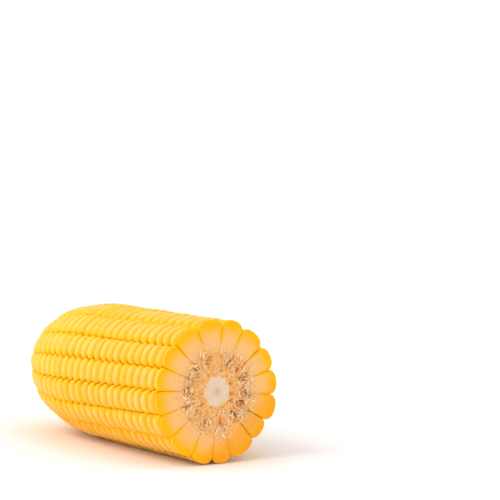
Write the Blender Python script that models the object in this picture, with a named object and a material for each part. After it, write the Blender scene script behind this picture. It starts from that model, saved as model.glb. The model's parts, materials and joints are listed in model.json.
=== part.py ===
"""Half an ear of sweet corn, cut across and lying on its side.

The cob is one turned body. Round it stand sixteen rows of kernels, which spiral slightly towards
the tip. The kernels of a row press against each other, so a row is one body with a groove at each
joint between kernels. The ear is modelled along X, with its cut face towards +X.
"""

import math
import random

import bmesh
import bpy
import numpy as np

# Ear, in metres
EAR_LENGTH = 0.118  # from the cut face to the end of the tip
CROWN_RADIUS = 0.025  # from the axis to the crowns at the cut face
TAPER = 0.0093  # loss of radius for each metre of length
TIP_LENGTH = 0.052  # length of the rounded tip
TIP_POWER = 2.3  # 2 makes the tip an ellipse, more makes it blunter
TIP_HOLE_RADIUS = 0.0062  # where the rows end and the bare tip of the cob shows
TWIST_PER_METRE = math.radians(88)  # spiral of the rows
BOW = 0.0035  # sideways bend of the axis at BOW_LENGTH from the cut face
BOW_LENGTH = 0.100

# Cob
COB_RADIUS = 0.0152
COB_TAPER = 0.012
COB_SEGMENTS = 48
STRAIGHT_RINGS = 4
TIP_RINGS = 14
TIP_KERNEL_DEPTH = 0.0036  # from the cob's tip to the kernels' tip

# Kernels
KERNEL_PITCH = 0.0047
TIP_KERNEL_PITCH = 0.0031
CUT_SHARE = (0.25, 0.75)  # least and most of a kernel that the cut takes off
PITCH_SPREAD = 0.07  # share of the pitch by which kernels differ
ROW_GROOVE = 0.0021  # depth of the groove between two rows
KERNEL_GROOVE = 0.0013  # depth of the groove between two kernels of a row
EDGE_SINK = 0.33  # share of the kernel groove's depth left at the row's edges
END_SINK = 0.5  # share of it at the row's end, on the tip
SHOULDER_DROP = 0.30  # share of the row groove that the shoulders lie below the crown
SHOULDER_SPAN = 0.62  # share of the half width at which the shoulders stand
CLEARANCE = 0.0003  # between a row and its neighbours

# Each row's width round the ear in degrees. The rows run from +Y over the top, seen from the cut face
ROW_WIDTHS = (22, 23, 24, 21.5, 25.5, 24.5, 21.5, 20.5, 21, 21.5, 26, 21, 18, 26, 22, 22)
FIRST_ROW_START = math.radians(-7)  # turns the ear so that it lies steadily on two of its rows

# How the ear lies
AXIS_TILT = math.radians(0.8)  # the cut end is thicker, so it stands a little higher
SURFACE = 0.0

KERNEL_COLOUR = (0.98, 0.60, 0.05, 1.0)
COB_COLOUR = (0.86, 0.70, 0.45, 1.0)

SAMPLES = 400


def profile():
    """Arc length along the crowns, and the crown line and the cob's surface at it, as s and r.

    s is the distance behind the cut face and r the distance from the axis.
    """
    straight = EAR_LENGTH - TIP_LENGTH
    run = np.linspace(0, straight, SAMPLES, endpoint=False)
    turn = np.linspace(0, math.pi / 2, SAMPLES)
    reach = np.concatenate([np.zeros(SAMPLES), np.sin(turn) ** (2 / TIP_POWER)])
    narrowing = np.concatenate([np.ones(SAMPLES), np.cos(turn)])
    start = np.concatenate([run, np.full(SAMPLES, straight)])
    crown_s = start + TIP_LENGTH * reach
    crown_r = (CROWN_RADIUS - TAPER * crown_s) * narrowing
    cob_s = start + (TIP_LENGTH - TIP_KERNEL_DEPTH) * reach
    cob_r = (COB_RADIUS - COB_TAPER * cob_s) * narrowing
    steps = np.hypot(np.diff(crown_s), np.diff(crown_r))
    arc = np.concatenate([[0], np.cumsum(steps)])
    return arc, crown_s, crown_r, cob_s, cob_r


ARC, CROWN_S, CROWN_R, COB_S, COB_R = profile()
ROW_END = float(np.interp(-TIP_HOLE_RADIUS, -CROWN_R, ARC))


def at(arc, line):
    return float(np.interp(arc, ARC, line))


def ear_point(s, r, angle):
    """A point of the ear, with the cut face's centre as the origin and the axis along -X."""
    bow = BOW * (s / BOW_LENGTH) ** 2
    turned = angle + TWIST_PER_METRE * s
    return (-s, r * math.cos(turned) + bow, r * math.sin(turned))


def kernel_joints(row):
    """Arc lengths of the joints between the kernels of a row, from the cut face to the row's end."""
    dice = random.Random(row)
    arc = -dice.uniform(*CUT_SHARE) * KERNEL_PITCH
    joints = []
    while arc < ROW_END:
        joints.append(max(arc, 0.0))
        slender = at(max(arc, 0.0), CROWN_R) / CROWN_RADIUS
        pitch = TIP_KERNEL_PITCH + (KERNEL_PITCH - TIP_KERNEL_PITCH) * slender
        arc += pitch * (1 + dice.uniform(-PITCH_SPREAD, PITCH_SPREAD))
    if ROW_END - joints[-1] < TIP_KERNEL_PITCH / 2:
        joints.pop()
    return joints + [ROW_END]


def row_section(arc, start, width, sunk):
    """The outline of a row across the ear at an arc length, from one foot over the crown to the other.

    sunk is 1 in a groove between two kernels and 0 on a crown.
    """
    half = width / 2
    middle = start + half
    foot_r = (at(arc, COB_R) + CLEARANCE) / math.cos(half)
    foot_s = at(arc, COB_S)
    top_r = at(arc, CROWN_R)
    top_s = at(arc, CROWN_S)
    depth = math.hypot(top_r - foot_r, top_s - foot_s)
    size = top_r / CROWN_RADIUS

    def point(drop, side):
        share = 1 - drop * size / depth
        r = foot_r + (top_r - foot_r) * share
        s = foot_s + (top_s - foot_s) * share
        play = CLEARANCE / 2 / r if abs(side) == 1 else 0
        return ear_point(s, r, middle + side * (half - play))

    edge = ROW_GROOVE + KERNEL_GROOVE * EDGE_SINK * sunk
    shoulder = ROW_GROOVE * SHOULDER_DROP + KERNEL_GROOVE * sunk
    crown = KERNEL_GROOVE * sunk
    foot = depth / size
    return [
        point(foot, -1),
        point(edge, -1),
        point(shoulder, -SHOULDER_SPAN),
        point(crown, 0),
        point(shoulder, SHOULDER_SPAN),
        point(edge, 1),
        point(foot, 1),
    ]


def new_object(name, body, colour, roughness, parent):
    mesh = bpy.data.meshes.new(name)
    bmesh.ops.recalc_face_normals(body, faces=body.faces)
    body.to_mesh(mesh)
    body.free()
    material = bpy.data.materials.new(f"{name} surface")
    material.use_nodes = True
    shader = material.node_tree.nodes["Principled BSDF"]
    shader.inputs["Base Color"].default_value = colour
    shader.inputs["Roughness"].default_value = roughness
    mesh.materials.append(material)
    made = bpy.data.objects.new(name, mesh)
    made.parent = parent
    bpy.context.scene.collection.objects.link(made)
    return made


def kernel_row(number, start, width, parent):
    """One row: its outline at the cut face, extruded from groove to crown to groove up to the tip."""
    joints = kernel_joints(number)
    body = bmesh.new()
    outline = row_section(joints[0], start, width, 0)
    end = body.faces.new([body.verts.new(p) for p in outline])
    spare = []
    for joint, following in zip(joints, joints[1:]):
        last = following == joints[-1]
        for arc, sunk in (((joint + following) / 2, 0), (following, END_SINK if last else 1)):
            grown = bmesh.ops.extrude_face_region(body, geom=[end])["geom"]
            if len(body.faces) > len(outline) + 2:
                body.faces.remove(end)
            end = next(g for g in grown if isinstance(g, bmesh.types.BMFace))
            for vert, place in zip(end.verts, row_section(arc, start, width, sunk)):
                vert.co = place
            if not sunk:
                foot_a, edge_a, edge_b, foot_b = (end.verts[i] for i in (0, 1, 5, 6))
                spare += [(foot_a, edge_a), (edge_b, foot_b), (foot_a, foot_b)]
    # The seat on the cob and the two walls need no edge under each crown
    edges = [body.edges.get(pair) for pair in spare]
    bmesh.ops.dissolve_edges(body, edges=edges, use_verts=True)
    return new_object(f"kernel_row_{number:02d}", body, KERNEL_COLOUR, 0.35, parent)


def cob(parent):
    """The cob: its outline turned about the axis, from the centre of the cut face to its tip."""
    last = float(np.interp(EAR_LENGTH - TIP_LENGTH, CROWN_S, ARC))
    arcs = [*np.linspace(0, last, STRAIGHT_RINGS), *np.linspace(last, ARC[-1], TIP_RINGS)[1:-1]]
    body = bmesh.new()
    outline = [body.verts.new((0, 0, 0))]
    outline += [body.verts.new((-at(a, COB_S), at(a, COB_R), 0)) for a in arcs]
    outline += [body.verts.new((-COB_S[-1], 0, 0))]
    edges = [body.edges.new(pair) for pair in zip(outline, outline[1:])]
    bmesh.ops.spin(
        body,
        geom=outline + edges,
        cent=(0, 0, 0),
        axis=(1, 0, 0),
        angle=2 * math.pi,
        steps=COB_SEGMENTS,
    )
    bmesh.ops.remove_doubles(body, verts=body.verts, dist=1e-6)
    for vert in body.verts:
        vert.co.y += BOW * (vert.co.x / BOW_LENGTH) ** 2
    return new_object("cob", body, COB_COLOUR, 0.8, parent)


def set_down(ear, bodies):
    """Rests the ear on the surface, with its box centred over the origin."""
    bpy.context.view_layer.update()
    places = np.array([body.matrix_world @ vert.co for body in bodies for vert in body.data.vertices])
    low, high = places.min(0), places.max(0)
    ear.location = (-(low[0] + high[0]) / 2, -(low[1] + high[1]) / 2, SURFACE - low[2])


def main():
    for old in list(bpy.data.objects):
        bpy.data.objects.remove(old)
    ear = bpy.data.objects.new("ear", None)
    ear.rotation_euler.y = -AXIS_TILT
    bpy.context.scene.collection.objects.link(ear)
    bodies = [cob(ear)]
    start = FIRST_ROW_START
    for number, width in enumerate(ROW_WIDTHS, 1):
        bodies.append(kernel_row(number, start, math.radians(width), ear))
        start += math.radians(width)
    set_down(ear, bodies)


main()
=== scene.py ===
"""Kernels, cob and stage of a cut length of sweet corn, built round its frame.

Pieces are modelled in the ear's own axes: +X out of the cut face, and the axis of the ear along -X
behind it. Each mesh is then carried into the frame, so its object stays at the origin.
"""

import json
import math
import random

import bmesh
import bpy
import numpy as np
from bpy.props import FloatProperty, FloatVectorProperty, IntProperty, PointerProperty
from mathutils import Matrix, Vector, noise


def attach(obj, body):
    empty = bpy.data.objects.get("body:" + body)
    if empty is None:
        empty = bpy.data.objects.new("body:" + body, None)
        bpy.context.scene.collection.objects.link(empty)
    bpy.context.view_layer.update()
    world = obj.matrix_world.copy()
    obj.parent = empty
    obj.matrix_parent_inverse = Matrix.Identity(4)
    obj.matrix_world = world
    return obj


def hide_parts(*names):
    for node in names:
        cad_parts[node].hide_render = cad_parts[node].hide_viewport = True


bl_info = {
    "name": "Corn cob",
    "version": (1, 0, 0),
    "blender": (4, 5, 0),
    "location": "View3D > Sidebar > Corn cob",
    "description": "Builds the kernels, the cob and the stage of a cut ear of sweet corn",
    "category": "Object",
}

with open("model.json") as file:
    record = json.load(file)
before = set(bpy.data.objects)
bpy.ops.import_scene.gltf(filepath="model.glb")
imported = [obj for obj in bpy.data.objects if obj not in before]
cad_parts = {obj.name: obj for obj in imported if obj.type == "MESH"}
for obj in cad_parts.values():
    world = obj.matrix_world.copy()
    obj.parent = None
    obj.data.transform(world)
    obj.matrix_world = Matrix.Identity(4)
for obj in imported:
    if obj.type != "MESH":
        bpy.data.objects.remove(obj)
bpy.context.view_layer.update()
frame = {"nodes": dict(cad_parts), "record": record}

# The ear's shape, as the frame has it, in metres
TAPER = 0.0093  # loss of the crowns' radius, per metre behind the cut face
COB_TAPER = 0.012  # and of the cob's
TIP_LENGTH = 0.052
TIP_POWER = 2.3  # how full the tip is: an ellipse has 2
TIP_HOLE_RADIUS = 0.0062  # of the tip's middle, which the rows leave open
TIP_KERNEL_DEPTH = 0.0036
TWIST_PER_METRE = math.radians(88)
BOW = 0.0035  # how far the axis has bent sideways at BOW_LENGTH
BOW_LENGTH = 0.100
KERNEL_PITCH = 0.0047
TIP_KERNEL_PITCH = 0.0031
CUT_SHARE = (0.25, 0.75)  # of the first kernel of a row that the cut takes away
PITCH_SPREAD = 0.07  # share of its length by which a kernel is longer or shorter
SAMPLES = 400  # of the profile's straight part, and of its tip
NEAR_FACE = 1e-4  # points nearer than this to the cut face lie on it

MOUNT = next(m for m in frame["record"]["mounts"] if m["name"] == "cut_face")
CENTRE = Vector(MOUNT["pos_m"])
AXIS = Vector(MOUNT["axis"]).normalized()
SIDE = Vector((0, 1, 0))
TILT = math.atan2(AXIS.z, AXIS.x)
TURN = Matrix((AXIS, SIDE, AXIS.cross(SIDE))).transposed()
EAR_TO_FRAME = Matrix.Translation(CENTRE) @ TURN.to_4x4()
ROW_NODES = sorted(name for name in frame["nodes"] if name.startswith("kernel_row"))


def ear_places(name):
    """A CAD node's points in the ear's axes."""
    to_ear = EAR_TO_FRAME.inverted()
    return np.array([to_ear @ vert.co for vert in frame["nodes"][name].data.vertices])


def face_angles(name):
    """The lowest and highest angle round the axis of a row's points on the cut face."""
    places = ear_places(name)
    face = places[places[:, 0] > -NEAR_FACE]
    middle = math.atan2(face[:, 2].sum(), face[:, 1].sum())
    angles = (np.arctan2(face[:, 2], face[:, 1]) - middle + math.pi) % (2 * math.pi) - math.pi
    return middle + angles.min(), middle + angles.max()


def row_borders():
    """The angle of the border below each row and of the one above the last row, at the cut face."""
    spans = [face_angles(name) for name in ROW_NODES]
    borders = []
    for before, after in zip(spans[-1:] + spans, spans):
        turns = round((after[0] - before[1]) / (2 * math.pi))
        border = (before[1] + after[0]) / 2 + turns * math.pi
        while borders and border < borders[-1]:
            border += 2 * math.pi
        borders.append(border)
    return borders + [borders[0] + 2 * math.pi]


COB_PLACES = ear_places("cob")
EAR_LENGTH = float(-COB_PLACES[:, 0].min()) + TIP_KERNEL_DEPTH
COB_RADIUS = float(np.hypot(*COB_PLACES[COB_PLACES[:, 0] > -NEAR_FACE][:, 1:].T).max())
ROW_PLACES = ear_places(ROW_NODES[0])
CROWN_RADIUS = float(np.hypot(*ROW_PLACES[ROW_PLACES[:, 0] > -NEAR_FACE][:, 1:].T).max())
BORDERS = row_borders()


def profile():
    """Arc length along the crowns, and the crown line and the cob's surface at it, as s and r."""
    straight = EAR_LENGTH - TIP_LENGTH
    run = np.linspace(0, straight, SAMPLES, endpoint=False)
    turn = np.linspace(0, math.pi / 2, SAMPLES)
    reach = np.concatenate([np.zeros(SAMPLES), np.sin(turn) ** (2 / TIP_POWER)])
    narrowing = np.concatenate([np.ones(SAMPLES), np.cos(turn)])
    start = np.concatenate([run, np.full(SAMPLES, straight)])
    crown_s = start + TIP_LENGTH * reach
    crown_r = (CROWN_RADIUS - TAPER * crown_s) * narrowing
    cob_s = start + (TIP_LENGTH - TIP_KERNEL_DEPTH) * reach
    cob_r = (COB_RADIUS - COB_TAPER * cob_s) * narrowing
    steps = np.hypot(np.diff(crown_s), np.diff(crown_r))
    arc = np.concatenate([[0], np.cumsum(steps)])
    return arc, crown_s, crown_r, cob_s, cob_r


ARC, CROWN_S, CROWN_R, COB_S, COB_R = profile()
ROW_END = float(np.interp(-TIP_HOLE_RADIUS, -CROWN_R, ARC))


def behind(arc, line):
    """Distance behind the cut face at an arc length, which may be negative in front of it."""
    return np.interp(arc, ARC, line) + np.minimum(arc, 0)


def radius(arc, line):
    """Distance from the axis at an arc length."""
    return np.interp(arc, ARC, line)


def ear_points(s, r, angle):
    """Points of the ear from distance behind the cut face, distance from the axis and angle."""
    turned = angle + TWIST_PER_METRE * s
    return np.stack([-s, r * np.cos(turned) + BOW * (s / BOW_LENGTH) ** 2, r * np.sin(turned)], 1)


def kernel_joints(row):
    """Arc lengths of the joints between a row's kernels. The first lies in front of the cut face."""
    dice = random.Random(row)
    arc = -dice.uniform(*CUT_SHARE) * KERNEL_PITCH
    joints = []
    while arc < ROW_END:
        joints.append(arc)
        slender = radius(max(arc, 0.0), CROWN_R) / CROWN_RADIUS
        pitch = TIP_KERNEL_PITCH + (KERNEL_PITCH - TIP_KERNEL_PITCH) * slender
        arc += pitch * (1 + dice.uniform(-PITCH_SPREAD, PITCH_SPREAD))
    if ROW_END - joints[-1] < TIP_KERNEL_PITCH / 2:
        joints.pop()
    return joints + [ROW_END]


ROWS = len(ROW_NODES)
JOINTS = [kernel_joints(row + 1) for row in range(ROWS)]


class KernelSizes(bpy.types.PropertyGroup):
    """Sizes of the kernels"""

    interlock: FloatProperty(
        name="Interlock",
        description="How far a kernel's side reaches in between its neighbours of the next row",
        default=0.00055,
        unit="LENGTH",
    )
    spread: FloatProperty(
        name="Spread",
        description="Share of its depth by which a kernel stands higher or lower than its neighbours",
        default=0.014,
    )
    flat_near: FloatProperty(
        name="Flatness at the cut",
        description="How far the shoulders of the kernels near the cut rise to their crowns",
        default=0.15,
    )
    flat_far: FloatProperty(
        name="Flatness at the tip",
        description="How far the shoulders of the kernels near the tip rise to their crowns",
        default=0.60,
    )
    lean: FloatProperty(
        name="Lean",
        description="Share of half its length by which a kernel's crown leans along the row",
        default=0.10,
    )
    rim: FloatProperty(
        name="Cut rim",
        description="How far the skin of a cut kernel stands back from the flesh",
        default=0.00018,
        unit="LENGTH",
    )
    smoothness: IntProperty(
        name="Smoothness",
        description="Subdivision levels of the kernels",
        default=2,
        min=1,
        max=3,
    )


class CobSizes(bpy.types.PropertyGroup):
    """Sizes of the cob and of what is left of the husks round the kernels' feet"""

    pith: FloatProperty(
        name="Pith radius",
        description="Radius of the soft white middle",
        default=0.0050,
        unit="LENGTH",
    )
    wood: FloatProperty(
        name="Wood radius",
        description="Outer radius of the woody ring",
        default=0.0083,
        unit="LENGTH",
    )
    hollow: FloatProperty(
        name="Hollow",
        description="How deep the cut lies below the face between the kernels' feet",
        default=0.0005,
        unit="LENGTH",
    )
    scales: IntProperty(
        name="Scales",
        description="Number of papery scales that stand in the cut",
        default=210,
        min=0,
    )
    foot_scales: IntProperty(
        name="Foot scales",
        description="Number of scales that wrap the feet of the cut kernels",
        default=76,
        min=0,
    )
    flakes: IntProperty(
        name="Flakes",
        description="Number of scales that lie bent over on the cut",
        default=40,
        min=0,
    )
    fibres: IntProperty(
        name="Fibres",
        description="Number of loose fibres",
        default=300,
        min=0,
    )
    tip_kernels: IntProperty(
        name="Tip kernels",
        description="Number of undeveloped kernels on the tip",
        default=64,
        min=0,
    )


def colour(name, description, value):
    """A colour setting of the panel."""
    return FloatVectorProperty(
        name=name, description=description, subtype="COLOR", size=3, min=0, max=1, default=value
    )


class CornColours(bpy.types.PropertyGroup):
    """Colours of the ear and of the floor"""

    # painted sheen: paler and bluer than the skin, the crown colour stands in for the gloss on the kernels'
    # tops
    crown: colour("Crown", "Top of a ripe kernel", (0.98, 0.540, 0.120))
    skin: colour("Skin", "Skin of a ripe kernel", (0.98, 0.505, 0.005))
    groove: colour("Groove", "Skin deep between two kernels", (1.00, 0.530, 0.001))
    rim: colour("Rim", "Cut skin and the flesh next to it", (0.94, 0.475, 0.001))
    seam: colour("Seam", "Cut skin where two kernels meet", (0.97, 0.36, 0.001))
    flesh: colour("Flesh", "Milky middle of a cut kernel", (0.90, 0.500, 0.18))
    foot: colour("Foot", "Pale foot of a kernel, where it meets the cob", (0.91, 0.48, 0.18))
    pith: colour("Pith", "Soft middle of the cob", (0.77, 0.57, 0.41))
    wood: colour("Wood", "Woody ring of the cob", (0.90, 0.49, 0.15))
    # painted shade: the woody ring's colour deep in its hollows, browner than the wood
    wood_depth_shade: colour("Bark", "Brown hollows of the woody ring", (1.0, 0.41, 0.05))
    paper: colour("Paper", "Dry scales round the kernels' feet", (1.0, 0.76, 0.47))
    floor: colour("Floor", "The surface that the ear lies on", (0.93, 0.92, 0.92))


# Colours that the materials mix in
DEEP_SKIN = (0.98, 0.455, 0.010)
MOTTLED_SKIN = (1.0, 0.62, 0.20)
# painted shade: deeper orange for the cut kernels on one lower side, as if in the shade of things beside the
# ear
PAINTED_SHADE_FLESH = (0.92, 0.36, 0.005)
FLESH_GRAIN = (1.0, 0.66, 0.38)
PITH_STREAK = (0.82, 0.64, 0.48)
PITH_MIDDLE = (0.66, 0.45, 0.29)
STRAW = (1.0, 0.72, 0.38)
RIPE_WOOD = (0.84, 0.38, 0.06)
# painted shade: a darker colour for the deepest hollows of the cut
WOOD_HOLLOW_SHADE = (0.64, 0.22, 0.02)
STALK_COLOURS = (0.74, 0.34, 0.08), (0.95, 0.54, 0.22)
BARE_TIP = (0.95, 0.70, 0.36)
TAN_SCALE = (1.0, 0.62, 0.26)
# painted shade: the scales' colour deep in the cut
SCALE_DEPTH_SHADE = (1.0, 0.42, 0.05)
FLECKED_SCALE = (0.90, 0.46, 0.14)
WAX = (1.0, 0.84, 0.50)
CLOUDED_WAX = (1.0, 0.90, 0.66)
FLOOR_GRAIN = (0.89, 0.85, 0.81)
# painted bounce light and warm shade on the floor near the ear
PAINTED_FLOOR_GLOW = (0.93, 0.73, 0.52)  # light thrown back by the ear


class Flow:
    """A socket of a material's nodes, so that shader maths reads as an expression."""

    def __init__(self, surface, socket):
        self.surface = surface
        self.socket = socket

    def maths(self, operation, *values):
        return self.surface.node("Math", {"operation": operation}, dict(enumerate(values)))

    def __add__(self, other):
        return self.maths("ADD", self, other)

    def __sub__(self, other):
        return self.maths("SUBTRACT", self, other)

    def __rsub__(self, other):
        return self.maths("SUBTRACT", other, self)

    def __mul__(self, other):
        return self.maths("MULTIPLY", self, other)

    def __truediv__(self, other):
        return self.maths("DIVIDE", self, other)

    def __pow__(self, other):
        return self.maths("POWER", self, other)

    __radd__ = __add__
    __rmul__ = __mul__

    def between(self, low, high):
        """0 at low, 1 at high, and smooth from one to the other."""
        return self.surface.node(
            "MapRange",
            {"interpolation_type": "SMOOTHSTEP"},
            {"Value": self, "From Min": low, "From Max": high},
        )


class Surface:
    """A material being made: its nodes, and the Principled BSDF that they end in."""

    def __init__(self, name, **fixed):
        self.material = bpy.data.materials.new(name)
        self.material.use_nodes = True
        self.tree = self.material.node_tree
        self.shader = self.tree.nodes["Principled BSDF"]
        for socket, value in fixed.items():
            self.feed(self.shader.inputs[socket.replace("_", " ")], value)

    def feed(self, socket, value):
        """Links a flow to a socket, or gives the socket a value. A colour may leave out its alpha."""
        if isinstance(value, Flow):
            self.tree.links.new(value.socket, socket)
        elif hasattr(socket.default_value, "__len__"):
            given = tuple(value)
            socket.default_value = given + (1.0,) * (len(socket.default_value) - len(given))
        else:
            socket.default_value = value

    def node(self, kind, settings=None, inputs=None, output=0):
        """A new node: its type, its settings, and the values or links of its sockets."""
        made = self.tree.nodes.new(f"ShaderNode{kind}")
        for name, value in (settings or {}).items():
            setattr(made, name, value)
        for name, value in (inputs or {}).items():
            self.feed(made.inputs[name], value)
        return Flow(self, made.outputs[output])

    def mix(self, share, first, second):
        """A colour between two colours."""
        return self.node("Mix", {"data_type": "RGBA"}, {0: share, 6: first, 7: second}, output=2)

    def noise(self, where, scale, detail=2.0, roughness=0.5):
        """A cloudy value from 0 to 1."""
        sockets = {"Vector": where, "Scale": scale, "Detail": detail, "Roughness": roughness}
        return self.node("TexNoise", None, sockets)

    def attribute(self, name):
        """A value that is stored on the mesh's points."""
        return self.node("Attribute", {"attribute_name": name}, output=2)

    def object_place(self):
        """The place in the object's axes, which are the frame's."""
        return self.node("TexCoord", output=3)

    def ear_place(self):
        """The place in the ear's axes."""
        turn = {"Vector": self.object_place(), "Location": CENTRE, "Rotation": (0, -TILT, 0)}
        return self.node("Mapping", {"vector_type": "TEXTURE"}, turn)

    def parts(self, vector):
        """The x, y and z of a vector."""
        split = self.tree.nodes.new("ShaderNodeSeparateXYZ")
        self.feed(split.inputs[0], vector)
        return [Flow(self, out) for out in split.outputs]

    def ready(self, colour, roughness, height=None, strength=0.3, distance=0.0005):
        """Ends the material in its colour, its roughness and, from a height, its bump."""
        self.feed(self.shader.inputs["Base Color"], colour)
        self.feed(self.shader.inputs["Roughness"], roughness)
        if height is not None:
            bump = self.node("Bump", None, {"Strength": strength, "Distance": distance, "Height": height})
            self.feed(self.shader.inputs["Normal"], bump)
        return self.material


def skin_surface(colours):
    """Moist yellow skin, which lets light through and is deeper in colour between the kernels, with painted
    sheen that makes its tops paler.
    """
    made = Surface(
        "kernel skin",
        Subsurface_Weight=0.6,
        Subsurface_Radius=(1.0, 0.80, 0.15),
        Subsurface_Scale=0.0026,
        IOR=1.33,
    )
    place = made.object_place()
    crown = made.attribute("crown")
    tone = made.attribute("tone")
    patches = made.noise(place, 260, detail=3)
    golden = made.mix(crown.between(0.0, 0.65), colours.groove, colours.skin)
    # painted sheen: the kernels' tops are mixed towards the paler crown colour, more on some kernels than on
    # others
    base = made.mix(crown.between(0.40, 1.0) * (0.55 + tone * 0.45), golden, colours.crown)
    deep = made.mix((1 - tone).between(0.45, 1.0) * 0.35, base, DEEP_SKIN)
    mottled = made.mix(patches.between(0.45, 0.75) * crown * 0.30, deep, MOTTLED_SKIN)
    wrinkles = made.noise(place, 1500, detail=2)
    rough = 0.36 + patches * 0.16
    return made.ready(mottled, rough, wrinkles + patches * 2, strength=0.10, distance=0.0003)


def flesh_surface(colours):
    """The cut through a kernel: milky inside, yellow next to its skin, orange at its sides, with painted
    shade on one lower side of the cut.
    """
    made = Surface(
        "kernel flesh",
        Subsurface_Weight=0.5,
        Subsurface_Radius=(1.0, 0.55, 0.22),
        Subsurface_Scale=0.0016,
        IOR=1.2,
    )
    place = made.ear_place()
    _, y, z = made.parts(place)
    grain = made.noise(place, 900, detail=4)
    coarse = made.noise(place, 240, detail=3)
    rim = made.attribute("rim")
    out = (y * y + z * z) ** 0.5
    wavy = out + (coarse - 0.5) * 0.0022
    inner = (rim * 2.2 + wavy.between(0.0195, 0.0145)).between(0, 1) * wavy.between(0.0235, 0.0180)
    milky = made.mix(inner, colours.rim, colours.flesh)
    footed = made.mix(wavy.between(0.0174, 0.0142), milky, colours.foot)
    # painted shade: the cut kernels towards -z and +y are mixed towards a deeper orange
    shaded = made.mix((y * 0.8 - z).between(0.013, 0.023) * 0.75, footed, PAINTED_SHADE_FLESH)
    seam = rim.between(0.07, 0.0) * out.between(0.0232, 0.0215)
    seamed = made.mix(seam, shaded, colours.seam)
    grained = made.mix(grain.between(0.45, 0.85) * inner * 0.25, seamed, FLESH_GRAIN)
    height = grain * 0.5 + coarse
    return made.ready(grained, 0.45 + coarse * 0.1, height, strength=0.2, distance=0.0004)


def cob_surface(colours, cob):
    """The cut cob: white pith, a fibrous woody ring, and the brown and cream between the scales, with
    painted shade that makes it browner and darker deeper below the cut.
    """
    made = Surface(
        "cut cob",
        Subsurface_Weight=0.25,
        Subsurface_Radius=(1.0, 0.7, 0.4),
        Subsurface_Scale=0.0010,
        IOR=1.2,
    )
    place = made.ear_place()
    x, y, z = made.parts(place)
    out = (y * y + z * z) ** 0.5
    wander = made.noise(place, 330, detail=4, roughness=0.6)
    fine = made.noise(place, 1400, detail=4, roughness=0.7)
    spokes = made.node("CombineXYZ", None, {"X": out * 120, "Y": y / out * 5, "Z": z / out * 5})
    streaks = made.noise(spokes, 3.2, detail=5, roughness=0.65)
    rays = made.noise(made.node("CombineXYZ", None, {"Y": y / out, "Z": z / out}), 2.6, detail=2)
    edge = out + (wander - 0.5) * 0.0016 + (rays - 0.5) * 0.0036 + (streaks - 0.5) * 0.0022
    pith = made.mix(streaks.between(0.35, 0.60), colours.pith, PITH_STREAK)
    dot = made.mix(out.between(0.0024, 0.0002) * 0.7, pith, PITH_MIDDLE)
    # painted shade: the wood turns browner, then darker, the deeper it lies below the cut
    depth = (x + (wander - 0.5) * 0.0008).between(-0.0003, -0.0017)
    wood = made.mix(depth, colours.wood, colours.wood_depth_shade)
    straw = made.mix(fine.between(0.50, 0.62) * 0.7, wood, STRAW)
    ripe = made.mix(streaks.between(0.50, 0.60) * 0.8, straw, RIPE_WOOD)
    # painted shade: darkest in the deep hollows
    dark = made.mix(x.between(-0.0010, -0.0018) * 0.8, ripe, WOOD_HOLLOW_SHADE)
    stalk = made.mix(streaks.between(0.35, 0.65), *STALK_COLOURS)
    tan = made.mix(made.attribute("stalk") * 0.9, dark, stalk)
    cut = made.mix(edge.between(cob.pith - 0.0010, cob.pith + 0.0010), dot, tan)
    tip = made.mix((x * -1).between(0.080, 0.105), cut, BARE_TIP)
    return made.ready(tip, 0.75, fine + streaks, strength=0.6, distance=0.0004)


def paper_surface(colours):
    """Dry scales and fibres: cream, with painted shade that makes them browner deep in the cut."""
    made = Surface(
        "papery scales",
        Subsurface_Weight=0.15,
        Subsurface_Radius=(1.0, 0.75, 0.45),
        Subsurface_Scale=0.0002,
        IOR=1.2,
    )
    place = made.ear_place()
    x, _, _ = made.parts(place)
    tone = made.attribute("tone")
    flecks = made.noise(place, 700, detail=3)
    fresh = made.mix(tone.between(-0.2, 0.7), TAN_SCALE, colours.paper)
    # painted shade: the scales turn browner the deeper they lie below the face
    deep = made.mix((x * -1).between(0.0002, 0.0011) * 0.9, fresh, SCALE_DEPTH_SHADE)
    flecked = made.mix(flecks.between(0.55, 0.75) * 0.35, deep, FLECKED_SCALE)
    return made.ready(flecked, 0.6, flecks, strength=0.3, distance=0.0002)


def tip_surface(colours):
    """Small kernels that never filled: pale and waxy, yellow at their crowns."""
    made = Surface(
        "tip kernels",
        Subsurface_Weight=0.4,
        Subsurface_Radius=(1.0, 0.65, 0.25),
        Subsurface_Scale=0.0012,
    )
    place = made.object_place()
    tone = made.attribute("tone")
    cloud = made.noise(place, 500, detail=3)
    ripe = made.mix(tone.between(0.2, 0.9), WAX, colours.skin)
    clouded = made.mix(cloud.between(0.45, 0.75) * 0.35, ripe, CLOUDED_WAX)
    return made.ready(clouded, 0.38 + cloud * 0.1, cloud, strength=0.2, distance=0.0003)


def floor_surface(colours):
    """A pale matt floor, with painted bounce light and warm shade close to the ear."""
    made = Surface("studio floor", IOR=1.3)
    place = made.object_place()
    x, y, _ = made.parts(place)
    away = ((x / 2.4) ** 2 + y * y) ** 0.5
    grained = made.mix(made.noise(place, 60, detail=3) * 0.04, colours.floor, FLOOR_GRAIN)
    # painted bounce light and warm shade: the floor is mixed towards a warm tint near the ear
    glow_painted = made.mix(away.between(0.040, 0.018) * 0.45, grained, PAINTED_FLOOR_GLOW)
    return made.ready(glow_painted, 0.85)


def material(name, make, *args):
    """A material by name, made the first time that it is asked for."""
    return bpy.data.materials.get(name) or make(*args)


def colours():
    """The scene's colours, as the panel has them."""
    return bpy.context.scene.corn_colours


def deselect():
    """Leaves edit mode, with nothing selected."""
    if bpy.context.mode != "OBJECT":
        bpy.ops.object.mode_set(mode="OBJECT")
    bpy.ops.object.select_all(action="DESELECT")


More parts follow.
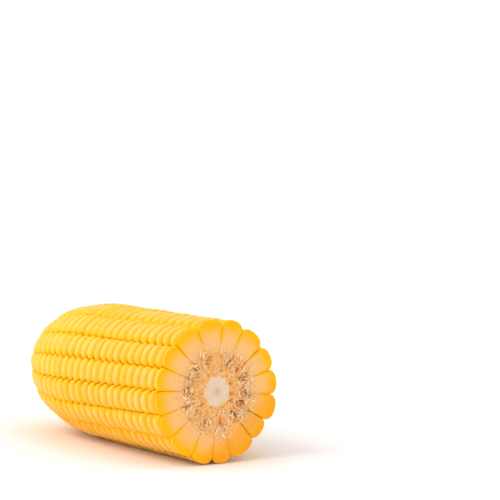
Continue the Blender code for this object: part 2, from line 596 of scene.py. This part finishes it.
def pick(obj, test, kind="verts"):
    """Selects only the vertices or faces that pass the test, in edit mode."""
    bpy.ops.mesh.select_all(action="DESELECT")
    body = bmesh.from_edit_mesh(obj.data)
    for part in getattr(body, kind):
        if test(part.co if kind == "verts" else part.calc_center_median()):
            part.select_set(True)
    bmesh.update_edit_mesh(obj.data)


def take(obj):
    """Selects one object and makes it active."""
    deselect()
    bpy.context.view_layer.objects.active = obj
    obj.select_set(True)


def edit(obj):
    """Takes an object into edit mode, with all of its mesh selected."""
    take(obj)
    bpy.ops.object.mode_set(mode="EDIT")
    bpy.ops.mesh.select_all(action="SELECT")


def face_out(obj):
    """Turns the faces of each closed shape in an object outwards."""
    edit(obj)
    bpy.ops.mesh.normals_make_consistent(inside=False)
    bpy.ops.object.mode_set(mode="OBJECT")


def places_of(obj):
    """The points of an object's mesh, one to a row."""
    places = np.empty(len(obj.data.vertices) * 3)
    obj.data.vertices.foreach_get("co", places)
    return places.reshape(-1, 3)


def set_places(obj, places):
    """Moves the points of an object's mesh."""
    obj.data.vertices.foreach_set("co", np.asarray(places, float).ravel())
    obj.data.update()


def copy_of(obj, name, places):
    """A copy of an object with its own mesh, its points moved to places."""
    made = obj.copy()
    made.data = obj.data.copy()
    made.name = name
    bpy.context.scene.collection.objects.link(made)
    set_places(made, places)
    return made


def mark(obj, name, values):
    """Stores a value for each point of the mesh."""
    layer = obj.data.attributes.get(name) or obj.data.attributes.new(name, "FLOAT", "POINT")
    layer.data.foreach_set("value", np.broadcast_to(values, len(obj.data.vertices)).astype(np.float32))


def join(objects, name):
    """Makes several objects one, under a name."""
    deselect()
    for obj in objects:
        obj.select_set(True)
    bpy.context.view_layer.objects.active = objects[0]
    if len(objects) > 1:
        bpy.ops.object.join()
    objects[0].name = name
    return objects[0]


def smooth_out(obj, levels):
    """Rounds an object by subdividing it."""
    take(obj)
    rounding = obj.modifiers.new("rounding", "SUBSURF")
    rounding.levels = rounding.render_levels = levels
    bpy.ops.object.modifier_apply(modifier=rounding.name)


def finish_piece(obj, materials, nodes=()):
    """Carries a piece into the frame, smooths its shading, gives it its materials, hangs it under the root,
    and hides the CAD parts that it stands for.
    """
    obj.data.transform(EAR_TO_FRAME)
    obj.data.shade_smooth()
    for given in materials[len(obj.data.materials):]:
        obj.data.materials.append(given)
    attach(obj, "root")
    if nodes:
        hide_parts(*nodes)


# Kernels

LOOPS = (1.20, 1.65)  # how far the inner loops of the unit kernel move out, along it and across it
LEVELS = ((-1.0, 0.80, 0.97), (-0.45, 0.98, 1.0), (0.58, 1.0, 1.0))  # height, length and width
CROWN_ENDS = (0.60, 0.84, 1.0)  # height, length and width of the crown's outer points: first those at
CROWN_SIDES = (0.70, 1.0, 0.88)  # the two ends of its length, then those at its sides
CROWN_CORNER = (-0.14, 0.80, 0.97)
CROWN_TOP = (1.16, 0.94, 1.0)
TOP = 0.9  # points of the unit kernel above this height are its crown's
EDGE = 0.8  # and points farther out than this are at its ends or its sides
FIT = (0.985, 1.010)  # of its cell that a kernel fills, along it and across it
FLAT_PLACES = (0.010, 0.080)  # arc lengths between which the crowns grow flatter
FLAT_RISE = 0.02  # share of its depth by which a quite flat kernel stands higher
WAIST = 0.5  # height of a kernel's middle in its cell
SHOULDER = 0.15  # height over which its flatness sets in
CUT_FOOT = (0.20, 0.42)  # how much longer the lower half of a cut kernel is, for its foot shows
# above these shares the skin takes on the crown colour, which is painted sheen
GROOVE_SHARES = (0.72, 0.94)  # shares of its depth between which a kernel's skin turns from dark to light
SHORTEST_EDGE = 0.00012
RIM_STEPS = (  # of the cut flesh: how far it shrinks, and its share of the rim's height
    (0.985, 0.42),
    (0.980, 0.27),
    (0.970, 0.17),
    (0.955, 0.10),
    (0.920, 0.04),
    (0.880, 0.0),
    (0.850, 0.0),
    (0.820, 0.0),
)


def unit_kernel():
    """One kernel in a unit cell: its length along X, its width along Y, its foot at 0 and crown at 1."""
    deselect()
    bpy.ops.mesh.primitive_cube_add(size=2)
    cage = bpy.context.object
    edit(cage)
    bpy.ops.mesh.subdivide(number_cuts=2)
    pick(cage, lambda co: abs(co.x) < 0.5)
    bpy.ops.transform.resize(value=(LOOPS[0], 1, 1))
    pick(cage, lambda co: abs(co.y) < 0.5)
    bpy.ops.transform.resize(value=(1, LOOPS[1], 1))
    for level, (height, length, width) in zip((-1, -1 / 3, 1 / 3), LEVELS):
        pick(cage, lambda co: abs(co.z - level) < 0.1)
        bpy.ops.transform.resize(value=(length, width, 1))
        bpy.ops.transform.translate(value=(0, 0, height - level))
    move_crown(cage, lambda co: co.z > TOP and abs(co.x) > EDGE, CROWN_ENDS[0] - 1, CROWN_ENDS[1:])
    move_crown(cage, lambda co: co.z > TOP and abs(co.y) > EDGE, CROWN_SIDES[0] - 1, CROWN_SIDES[1:])
    corner = CROWN_ENDS[0] - 0.05
    move_crown(
        cage,
        lambda co: corner < co.z < TOP and abs(co.x) > 0.6 and abs(co.y) > EDGE,
        CROWN_CORNER[0],
        CROWN_CORNER[1:],
    )
    move_crown(cage, lambda co: co.z > TOP, CROWN_TOP[0] - 1, CROWN_TOP[1:])
    bpy.ops.object.mode_set(mode="OBJECT")
    return fitted(cage)


def move_crown(cage, test, rise, scale):
    """Moves the points of the unit kernel's crown that pass the test up, and closer together."""
    pick(cage, test)
    bpy.ops.transform.resize(value=(*scale, 1))
    bpy.ops.transform.translate(value=(0, 0, rise))


def fitted(cage):
    """Scales a cage so that its smoothed shape just fills the cell, and marks how high its skin lies."""
    trial = copy_of(cage, "trial", places_of(cage))
    smooth_out(trial, 2)
    low, high = places_of(trial).min(0), places_of(trial).max(0)
    bpy.data.objects.remove(trial)
    places = (places_of(cage) - (low + high) / 2) / ((high - low) / 2) * (*FIT, 0.5) + (0, 0, 0.5)
    set_places(cage, places)
    dark, light = GROOVE_SHARES
    mark(cage, "crown", np.clip((places[:, 2] - dark) / (light - dark), 0, 1))
    mark(cage, "rim", 0.0)
    mark(cage, "tone", 0.5)
    return cage


def kernel_share(row, arc):
    """How far round its kernel a place in a row is, as a wave that is 1 at the joints."""
    joints = JOINTS[row % ROWS]
    return np.cos(2 * math.pi * np.interp(arc, joints, np.arange(len(joints))))


def border(row, arc, wave):
    """The wavy border below a row: it gives way where a kernel's middle meets two neighbours' ends."""
    reach = wave / radius(arc, CROWN_R)
    return BORDERS[row] + reach * (kernel_share(row, arc) - kernel_share(row - 1, arc))


def kernel_places(unit, row, joint, following, sizes, dice):
    """The points of a unit kernel, carried to their place in the ear."""
    x, y, z = unit.T
    lean, wave = sizes.lean, sizes.interlock
    flat = np.interp((joint + following) / 2, FLAT_PLACES, (sizes.flat_near, sizes.flat_far))
    z = z + (1 - z) * flat * np.clip((z - WAIST) / SHOULDER, 0, 1)
    z = z * (1 + FLAT_RISE * flat + dice.uniform(-sizes.spread, sizes.spread))
    if joint < 0:
        z = z - dice.uniform(*CUT_FOOT) * np.maximum(WAIST - z, 0)
    x = x + dice.uniform(-lean, lean) * np.clip(z - WAIST, 0, 1) * (1 - x * x)
    y = y + dice.uniform(-lean, lean) * 0.5 * np.clip(z - WAIST, 0, 1) * (1 - y * y)
    arc = (joint + following) / 2 + x * (following - joint) / 2
    low, high = border(row, arc, wave), border(row + 1, arc, wave)
    angle = (low + high) / 2 + y * (high - low) / 2
    foot_s, foot_r = behind(arc, COB_S), radius(arc, COB_R)
    top_s, top_r = behind(arc, CROWN_S), radius(arc, CROWN_R)
    s = foot_s + (top_s - foot_s) * z
    r = foot_r + (top_r - foot_r) * z
    return ear_points(s, r, angle)


def open_cut(kernel, sizes):
    """Cuts a kernel across at the face, and rounds its flesh out from the skin in a few steps."""
    smooth_out(kernel, sizes.smoothness + 1)
    edit(kernel)
    bpy.ops.mesh.bisect(
        plane_co=(-sizes.rim, 0, 0),
        plane_no=(1, 0, 0),
        use_fill=True,
        clear_outer=True,
        threshold=1e-7,
    )
    bpy.ops.mesh.remove_doubles(threshold=SHORTEST_EDGE)
    pick(kernel, lambda co: co.x > -sizes.rim - 1e-6, "faces")
    size = 1.0
    for shrink, share in RIM_STEPS:
        rise = {"value": (share * sizes.rim, 0, 0)}
        bpy.ops.mesh.extrude_region_move(TRANSFORM_OT_translate=rise)
        bpy.ops.transform.resize(value=(1, shrink, shrink))
        size *= shrink
        body = bmesh.from_edit_mesh(kernel.data)
        rim_layer = body.verts.layers.float["rim"]
        for vert in body.verts:
            if vert.select:
                vert[rim_layer] = 1 - size
    bpy.ops.mesh.poke()
    pick(kernel, lambda co: co.x > -sizes.rim + 1e-6, "faces")
    kernel.active_material_index = 1
    bpy.ops.object.material_slot_assign()
    bpy.ops.object.mode_set(mode="OBJECT")


def kernel_row(row, cage, sizes, materials):
    """A row of kernels from the cut face to the tip."""
    dice = random.Random(100 + row)
    unit = places_of(cage)
    whole = []
    cut = None
    for joint, following in zip(JOINTS[row], JOINTS[row][1:]):
        places = kernel_places(unit, row, joint, following, sizes, dice)
        kernel = copy_of(cage, f"kernel_{row}_{len(whole)}", places)
        for given in materials:
            kernel.data.materials.append(given)
        mark(kernel, "tone", dice.random())
        if joint < 0:
            cut = kernel
        else:
            whole.append(kernel)
    piece = join(whole, f"kernels_{row + 1:02d}")
    smooth_out(piece, sizes.smoothness)
    open_cut(cut, sizes)
    piece = join([piece, cut], piece.name)
    finish_piece(piece, materials, [ROW_NODES[row]])


# Cob

FACE_RINGS = 56
ROUND = 256  # points in a ring
BODY_STATIONS = 22
SEAT = 0.0003  # gap between the cob and the kernels' feet

# Hollows and stalks of the cut: angle in degrees, then distance, length and width in millimetres
HOLLOWS = (
    (141, 11.2, 3.4, 0.9),
    (60, 11.1, 3.2, 0.9),
    (38, 10.5, 2.8, 1.4),
    (15, 12.2, 2.4, 1.0),
    (158, 9.5, 0.9, 0.9),
    (180, 10.0, 2.2, 0.7),
    (216, 6.9, 1.9, 0.9),
    (218, 11.6, 5.0, 0.9),
    (-30, 7.1, 1.2, 1.2),
    (-28, 10.7, 3.8, 1.3),
    (-49, 10.1, 2.0, 0.9),
    (-80, 11.0, 6.0, 0.8),
    (101, 12.0, 2.6, 0.8),
    (20, 6.3, 1.0, 1.0),
    (-12, 6.3, 0.9, 0.9),
)
STALKS = ((88, 10.2, 7.6, 3.0), (-94, 10.6, 6.0, 2.4), (116, 11.5, 3.0, 1.8), (-62, 12.6, 4.0, 2.2))

STREAKS = (4.5, 230)  # of the wood: how often they change round the cob, and in a metre outwards


def inside_any(y, z, shapes):
    """1 in the middle of the nearest of some long shapes that point outwards, and 0 outside them all."""
    best = 0.0
    for degrees, out, length, width in shapes:
        turn = math.radians(degrees)
        along = (y * math.cos(turn) + z * math.sin(turn)) * 1000 - out
        across = (z * math.cos(turn) - y * math.sin(turn)) * 1000
        best = max(best, 1 - (2 * along / length) ** 2 - (2 * across / width) ** 2)
    return min(best * 2.5, 1.0)


def relief(y, z, cob):
    """Height of the cut cob over its face: a smooth pith, a ragged ring of wood, and stalks over hollows."""
    out = math.hypot(y, z)
    place = Vector((y, z, 0)) * 1000
    turn = place.normalized() * STREAKS[0] if out > 1e-6 else Vector()
    streak = noise.fractal(Vector((turn.x, turn.y, out * STREAKS[1])), 0.8, 2.0, 4)
    rough = noise.fractal(place * 1.1, 0.7, 2.0, 4)
    angle = (math.atan2(z, y) - BORDERS[0]) % (2 * math.pi) + BORDERS[0]
    foot = float(np.interp(angle + 0.10 * streak, BORDERS, np.arange(len(BORDERS)))) % 1
    foot = math.cos(2 * math.pi * (foot - 0.5)) * 0.5 + 0.5
    edge = out + 0.0007 * streak
    wood = min(max((edge - cob.pith) / 0.0006, 0), 1)
    loose = min(max((edge - cob.wood) / 0.0024, 0), 1)
    pit = max(0.0, noise.noise(place * 1.5 + Vector((7, 3, 1))) - 0.20)
    height = -0.00005 + 0.00006 * rough * (1 - wood)
    height += wood * (-0.00030 + 0.00025 * rough + 0.00025 * streak - 0.0022 * pit)
    shore = min(max((out - 0.0112) / 0.0026, 0), 1)
    sunk = cob.hollow * (1.35 - foot) * (1 - 0.9 * shore)
    height += loose * (0.0007 * streak + 0.0003 * rough - sunk)
    stalk = inside_any(y, z, STALKS)
    height += stalk * (-0.00025 + 0.00015 * streak - height)
    return min(height, 0.0002) - 0.0011 * inside_any(y, z, HOLLOWS), stalk


def cob_core(cob):
    """The cob, from its cut face to its tip: its profile, spun round the axis."""
    deselect()
    bpy.ops.mesh.primitive_plane_add(size=0.001)
    core = bpy.context.object
    edit(core)
    bpy.ops.mesh.merge(type="CENTER")
    rim = COB_RADIUS - SEAT
    arcs = np.linspace(0, ARC[-1], BODY_STATIONS)[1:]
    face = [(0.0, rim * ring / FACE_RINGS) for ring in range(FACE_RINGS + 1)]
    body = zip(behind(arcs, COB_S), np.maximum(radius(arcs, COB_R) - SEAT, 0))
    line = face + [(-s, r) for s, r in body]
    for here, there in zip(line, line[1:]):
        step = (there[0] - here[0], there[1] - here[1], 0)
        bpy.ops.mesh.extrude_region_move(TRANSFORM_OT_translate={"value": step})
    bpy.ops.mesh.select_all(action="SELECT")
    bpy.ops.mesh.spin(steps=ROUND, angle=2 * math.pi, center=(0, 0, 0), axis=(1, 0, 0))
    bpy.ops.mesh.select_all(action="SELECT")
    bpy.ops.mesh.remove_doubles(threshold=1e-6)
    bpy.ops.mesh.normals_make_consistent(inside=False)
    bpy.ops.object.mode_set(mode="OBJECT")
    places = places_of(core)
    stalks = np.zeros(len(places))
    for number, place in enumerate(places):
        if place[0] > -NEAR_FACE:
            height, stalks[number] = relief(place[1], place[2], cob)
            place[0] += height
        else:
            place[1] += BOW * (place[0] / BOW_LENGTH) ** 2
    set_places(core, places)
    mark(core, "stalk", stalks)
    core.name = "cob_core"
    finish_piece(core, [material("cut cob", cob_surface, colours(), cob)], ["cob"])


SCALE_CUTS = 10
SCALE_LENGTHS = (0.0018, 0.0054)
SCALE_TOP = 0.0006  # the highest that a scale stands over the face
FLAKE_LENGTHS = (0.0018, 0.0042)
FLAKE_WIDTHS = (0.0004, 0.0009)
FLAKE_WALL = 0.00010
FLAKE_TOP = 0.0008
FIBRE_SIDES = 5
FIBRE_RINGS = 8
FIBRE_LENGTHS = (0.0016, 0.0050)
FIBRE_RADII = (0.00005, 0.00009)
FIBRE_TOP = 0.0007
CURL_STEPS = 32


def unit_scale():
    """A thin strip: its length along X from 0 to 1, its height along Z from 0 to 1, 1 thick."""
    deselect()
    bpy.ops.mesh.primitive_grid_add(
        x_subdivisions=SCALE_CUTS,
        y_subdivisions=2,
        size=1,
        rotation=(math.pi / 2, 0, 0),
        location=(0.5, 0, 0.5),
    )
    strip = bpy.context.object
    bpy.ops.object.transform_apply(location=True, rotation=True, scale=True)
    wall = strip.modifiers.new("wall", "SOLIDIFY")
    wall.thickness = 1.0
    wall.offset = 0
    bpy.ops.object.modifier_apply(modifier=wall.name)
    mark(strip, "tone", 0.5)
    return strip


def unit_fibre():
    """A thin rod: its length along X from 0 to 1, its radius 1."""
    deselect()
    bpy.ops.mesh.primitive_cylinder_add(
        vertices=FIBRE_SIDES, radius=1, depth=1, rotation=(0, math.pi / 2, 0), location=(0.5, 0, 0)
    )
    rod = bpy.context.object
    bpy.ops.object.transform_apply(location=True, rotation=True, scale=True)
    edit(rod)
    for ring in range(1, FIBRE_RINGS):
        bpy.ops.mesh.select_all(action="SELECT")
        bpy.ops.mesh.bisect(plane_co=(ring / FIBRE_RINGS, 0, 0), plane_no=(1, 0, 0))
    bpy.ops.object.mode_set(mode="OBJECT")
    mark(rod, "tone", 0.5)
    return rod


def curl(u, start, heading, length, bends):
    """Points and headings of a curve on the face that starts at a place and bends as it runs."""
    steps = np.linspace(0, 1, CURL_STEPS + 1)
    turned = heading + sum(a * np.sin(math.pi * k * steps + p) for a, k, p in bends)
    middle = (turned[1:] + turned[:-1]) / 2
    y = np.concatenate([[0], np.cumsum(np.cos(middle))]) * length / CURL_STEPS + start[0]
    z = np.concatenate([[0], np.cumsum(np.sin(middle))]) * length / CURL_STEPS + start[1]
    return np.interp(u, steps, y), np.interp(u, steps, z), np.interp(u, steps, turned)


def random_bends(dice, size):
    """Three bends of a curve, each as its size, how often it turns and where it starts."""
    return [(dice.gauss(0, size) / k, k, dice.uniform(0, 2 * math.pi)) for k in (1, 2, 3)]


def ripple(dice, u, size, least, most):
    """A wave along a scale, of a random count between least and most radians."""
    return size * np.sin(u * dice.uniform(least, most) + dice.uniform(0, 6))


def thinned(u, ends):
    """Thickness along a scale as a share: 1 in its middle, and little over the share given at its ends."""
    return ends + (1 - ends) * np.sin(math.pi * np.clip(u, 0.05, 0.95))


def beside(x, y, z, heading, across):
    """Points at a height over the face, set off sideways from a curve with a heading."""
    return np.stack([x, y - np.sin(heading) * across, z + np.cos(heading) * across], 1)


def ring_start(dice, low, high):
    """A random place on the face between two radii, outside hollows and stalks, and its direction."""
    while True:
        out = math.sqrt(dice.uniform(low * low, high * high))
        turn = dice.uniform(0, 2 * math.pi)
        y, z = out * math.cos(turn), out * math.sin(turn)
        if inside_any(y, z, HOLLOWS + STALKS) <= 0:
            return (y, z), turn


def standing_scale(dice, unit, cob):
    """Points of a scale that stands on edge in the cut, curled, mostly along a spoke of the cob."""
    u, w, v = unit.T
    start, turn = ring_start(dice, cob.pith + 0.0018, COB_RADIUS - 0.0014)
    heading = turn + dice.gauss(0, 0.45)
    length = dice.uniform(*SCALE_LENGTHS)
    y, z, turned = curl(u, start, heading, length, random_bends(dice, 0.5))
    thickness = (0.00008 + 0.00008 * dice.random()) * thinned(u, 0.35)
    top = dice.uniform(-0.0006, 0.0004) + ripple(dice, u, 0.0003, 3, 9)
    top = top - (0.0003 if math.hypot(*start) < cob.wood else 0)
    foot = -cob.hollow - 0.0009
    x = foot + (np.minimum(top, SCALE_TOP) - foot) * v
    lean = dice.gauss(0, 0.00025) * v
    return beside(x, y, z, turned, w * thickness + lean)


def foot_scale(dice, unit, cob):
    """Points of a scale that wraps a cut kernel's foot, from one of its sides to the other."""
    u, w, v = unit.T
    row = dice.randrange(ROWS)
    part = dice.uniform(0.0, 0.45), dice.uniform(0.55, 1.0)
    share = part[0] + (part[1] - part[0]) * u
    bend = 2 * share - 1
    angle = BORDERS[row] + (BORDERS[row + 1] - BORDERS[row]) * (0.5 + 0.47 * bend)
    out = COB_RADIUS - dice.uniform(0.0014, 0.0030) + dice.uniform(0.0010, 0.0034) * np.abs(bend) ** 3
    out = out + ripple(dice, u, 0.00025, 5, 12)
    thickness = (0.00007 + 0.00008 * dice.random()) * thinned(u, 0.3)
    top = dice.uniform(-0.0002, 0.0004) + ripple(dice, u, 0.0003, 4, 10)
    foot = -cob.hollow - 0.0008
    x = foot + (np.minimum(top, SCALE_TOP) - foot) * v
    out = out + w * thickness + dice.gauss(0, 0.0002) * v
    return np.stack([x, out * np.cos(angle), out * np.sin(angle)], 1)


def lying_flake(dice, unit, cob):
    """Points of a scale that lies bent over on the cut, its edges curled up."""
    u, w, v = unit.T
    start, turn = ring_start(dice, cob.wood, COB_RADIUS - 0.0008)
    heading = turn + dice.gauss(0, 0.9)
    y, z, turned = curl(u, start, heading, dice.uniform(*FLAKE_LENGTHS), random_bends(dice, 0.6))
    width = dice.uniform(*FLAKE_WIDTHS) * np.sin(math.pi * (0.12 + 0.80 * u))
    across = (v - 0.5) * width
    wave = dice.uniform(0, 2 * math.pi)
    low = max(math.hypot(*start) - 0.0118, 0) * 0.25 - 0.0006
    height = low + dice.uniform(0, 0.0006) + 0.00035 * np.sin(5 * u + wave) + 300 * across**2
    return beside(np.minimum(height, FLAKE_TOP) + w * FLAKE_WALL, y, z, turned, across)


def loose_fibre(dice, unit, cob):
    """Points of a fine fibre that curls over the cut."""
    u, a, b = unit.T
    start, turn = ring_start(dice, cob.pith + 0.0006, COB_RADIUS + 0.0008)
    heading = turn + dice.gauss(0, 0.8)
    y, z, turned = curl(u, start, heading, dice.uniform(*FIBRE_LENGTHS), random_bends(dice, 0.8))
    thin = dice.uniform(*FIBRE_RADII) * (0.25 + 0.75 * np.sin(math.pi * (0.08 + 0.84 * u)))
    wave = dice.uniform(0, 2 * math.pi)
    height = dice.uniform(-0.0001, 0.0004) + 0.0003 * np.sin(4 * u + wave)
    x = np.clip(height, -cob.hollow, FIBRE_TOP) + b * thin
    return beside(x, y, z, turned, a * thin)


def litter(name, seed, count, unit, shape, cob):
    """Many copies of a scale or a fibre, joined into one piece."""
    dice = random.Random(seed)
    places = places_of(unit)
    made = []
    for number in range(count):
        copy = copy_of(unit, f"{name}_{number}", shape(dice, places, cob))
        mark(copy, "tone", dice.random())
        made.append(copy)
    bpy.data.objects.remove(unit)
    piece = join(made, name)
    face_out(piece)
    finish_piece(piece, [material("papery scales", paper_surface, colours())])


GOLDEN_ANGLE = math.pi * (3 - math.sqrt(5))  # between two neighbours in the spiral


def tip_kernels(cob):
    """Undeveloped kernels, set in a spiral over the cob's tip."""
    deselect()
    bpy.ops.mesh.primitive_cube_add(size=1)
    bead = bpy.context.object
    edit(bead)
    bpy.ops.mesh.subdivide(number_cuts=1)
    bpy.ops.transform.tosphere(value=0.8)
    pick(bead, lambda co: co.x < -0.3)
    bpy.ops.transform.resize(value=(1, 0.7, 0.7))
    bpy.ops.object.mode_set(mode="OBJECT")
    mark(bead, "tone", 0.5)
    dice = random.Random(5)
    unit = places_of(bead) * (-1, 1, 1)
    made = []
    for number in range(cob.tip_kernels):
        share = (number + 0.5) / cob.tip_kernels
        out = (TIP_HOLE_RADIUS - 0.0006) * math.sqrt(share)
        arc = np.interp(-out, -COB_R, ARC)
        s = float(np.interp(arc, ARC, COB_S))
        size = dice.uniform(0.0010, 0.0014) * (0.75 + 0.5 * share)
        grown = unit * (size * dice.uniform(1.4, 2.0), size, size)
        grown[:, 0] -= s + size * 0.35
        turn = number * GOLDEN_ANGLE
        grown[:, 1] += out * math.cos(turn) + BOW * (s / BOW_LENGTH) ** 2
        grown[:, 2] += out * math.sin(turn)
        copy = copy_of(bead, f"tip_{number}", grown)
        mark(copy, "tone", dice.random() * share)
        made.append(copy)
    bpy.data.objects.remove(bead)
    piece = join(made, "tip_kernels")
    face_out(piece)
    smooth_out(piece, 1)
    finish_piece(piece, [material("tip kernels", tip_surface, colours())])


class CORN_OT_kernels(bpy.types.Operator):
    """Models one kernel and sets copies of it in rows round the cob, cut across at the face"""

    bl_idname = "corn.kernels"
    bl_label = "Kernels"

    def execute(self, context):
        sizes = context.scene.corn_kernels
        materials = [
            material("kernel skin", skin_surface, colours()),
            material("kernel flesh", flesh_surface, colours()),
        ]
        cage = unit_kernel()
        for row in range(ROWS):
            kernel_row(row, cage, sizes, materials)
        bpy.data.objects.remove(cage)
        return {"FINISHED"}


class CORN_OT_core(bpy.types.Operator):
    """Models the cob with its pith and its woody ring"""

    bl_idname = "corn.core"
    bl_label = "Cob"

    def execute(self, context):
        cob_core(context.scene.corn_cob)
        return {"FINISHED"}


class CORN_OT_scales(bpy.types.Operator):
    """Fills the cut between cob and kernels with papery scales and loose fibres"""

    bl_idname = "corn.scales"
    bl_label = "Scales and fibres"

    def execute(self, context):
        cob = context.scene.corn_cob
        litter("standing_scales", 11, cob.scales, unit_scale(), standing_scale, cob)
        litter("foot_scales", 14, cob.foot_scales, unit_scale(), foot_scale, cob)
        litter("bent_scales", 12, cob.flakes, unit_scale(), lying_flake, cob)
        litter("loose_fibres", 13, cob.fibres, unit_fibre(), loose_fibre, cob)
        return {"FINISHED"}


class CORN_OT_tip(bpy.types.Operator):
    """Sets undeveloped kernels on the tip of the cob"""

    bl_idname = "corn.tip"
    bl_label = "Tip kernels"

    def execute(self, context):
        tip_kernels(context.scene.corn_cob)
        return {"FINISHED"}


class StageSizes(bpy.types.PropertyGroup):
    """The camera and the light"""

    azimuth: FloatProperty(
        name="Azimuth",
        description="Turn of the camera round the ear, from straight along its side",
        default=math.radians(56.67),
        subtype="ANGLE",
    )
    elevation: FloatProperty(
        name="Elevation",
        description="How far the camera looks down",
        default=math.radians(5.67),
        subtype="ANGLE",
    )
    camera_place: FloatVectorProperty(
        name="Camera",
        description="The camera's place from the centre of the cut face",
        default=(1.0157, -0.6545, 0.1685),
        subtype="XYZ",
        unit="LENGTH",
    )
    lens: FloatProperty(
        name="Lens",
        description="Focal length in millimetres on a 36 mm sensor",
        default=257.5,
    )
    daylight: FloatProperty(
        name="Daylight",
        description="Strength of the even light from all round",
        default=0.95,
    )
    key: FloatProperty(
        name="Key light",
        description="Strength of the soft light from above",
        default=1.1,
    )
    fill: FloatProperty(
        name="Fill light",
        description="Strength of the wide light from the side of the cut",
        default=0.3,
    )


FLOOR_SIZE = 60


def soft_light(name, strength, spread, turn, height):
    """A far light with a wide, soft disc, from an angle round the ear and a height over the floor."""
    lamp = bpy.data.lights.new(name, "SUN")
    lamp.energy = strength
    lamp.angle = math.radians(spread)
    made = bpy.data.objects.new(name, lamp)
    made.rotation_euler = (math.radians(90 - height), 0, math.radians(turn))
    bpy.context.scene.collection.objects.link(made)


class CORN_OT_stage(bpy.types.Operator):
    """Sets the floor, the light and the camera"""

    bl_idname = "corn.stage"
    bl_label = "Stage"

    def execute(self, context):
        scene = context.scene
        stage = scene.corn_stage
        deselect()
        bpy.ops.mesh.primitive_plane_add(size=FLOOR_SIZE)
        floor = bpy.context.object
        floor.name = "floor"
        edit(floor)
        bpy.ops.mesh.subdivide(number_cuts=3)
        bpy.ops.object.mode_set(mode="OBJECT")
        floor.data.materials.append(floor_surface(colours()))
        world = bpy.data.worlds.new("studio")
        world.use_nodes = True
        sky = world.node_tree.nodes["Background"].inputs
        sky["Color"].default_value = (1, 1, 1, 1)
        sky["Strength"].default_value = stage.daylight
        scene.world = world
        soft_light("key", stage.key, spread=36, turn=-5, height=45)
        soft_light("fill", stage.fill, spread=70, turn=50, height=25)
        camera = bpy.data.cameras.new("camera")
        camera.sensor_width = 36
        camera.lens = stage.lens
        camera.clip_end = 100
        made = bpy.data.objects.new("camera", camera)
        made.location = CENTRE + Vector(stage.camera_place)
        made.rotation_euler = (math.pi / 2 - stage.elevation, 0, stage.azimuth)
        scene.collection.objects.link(made)
        scene.camera = made
        scene.view_settings.view_transform = "Standard"
        return {"FINISHED"}


class CORN_PT_panel(bpy.types.Panel):
    """The ear's sizes, colours and steps"""

    bl_label = "Corn cob"
    bl_idname = "CORN_PT_panel"
    bl_space_type = "VIEW_3D"
    bl_region_type = "UI"
    bl_category = "Corn cob"

    def draw(self, context):
        for group in GROUPS:
            settings = getattr(context.scene, group)
            for name in settings.__annotations__:
                self.layout.prop(settings, name)
        for step in STEPS:
            self.layout.operator(step.bl_idname)


GROUPS = {
    "corn_kernels": KernelSizes,
    "corn_cob": CobSizes,
    "corn_colours": CornColours,
    "corn_stage": StageSizes,
}
STEPS = (CORN_OT_kernels, CORN_OT_core, CORN_OT_scales, CORN_OT_tip, CORN_OT_stage)


def register():
    """Adds the settings, the steps and the panel to Blender."""
    for group in (*GROUPS.values(), *STEPS, CORN_PT_panel):
        bpy.utils.register_class(group)
    for name, group in GROUPS.items():
        setattr(bpy.types.Scene, name, PointerProperty(type=group))


def unregister():
    """Takes them out again."""
    for name in GROUPS:
        delattr(bpy.types.Scene, name)
    for group in (CORN_PT_panel, *reversed(STEPS), *reversed(GROUPS.values())):
        bpy.utils.unregister_class(group)


def main():
    """Builds the ear and its stage."""
    register()
    bpy.ops.corn.kernels()
    bpy.ops.corn.core()
    bpy.ops.corn.scales()
    bpy.ops.corn.tip()
    bpy.ops.corn.stage()


if __name__ == "__main__":
    main()
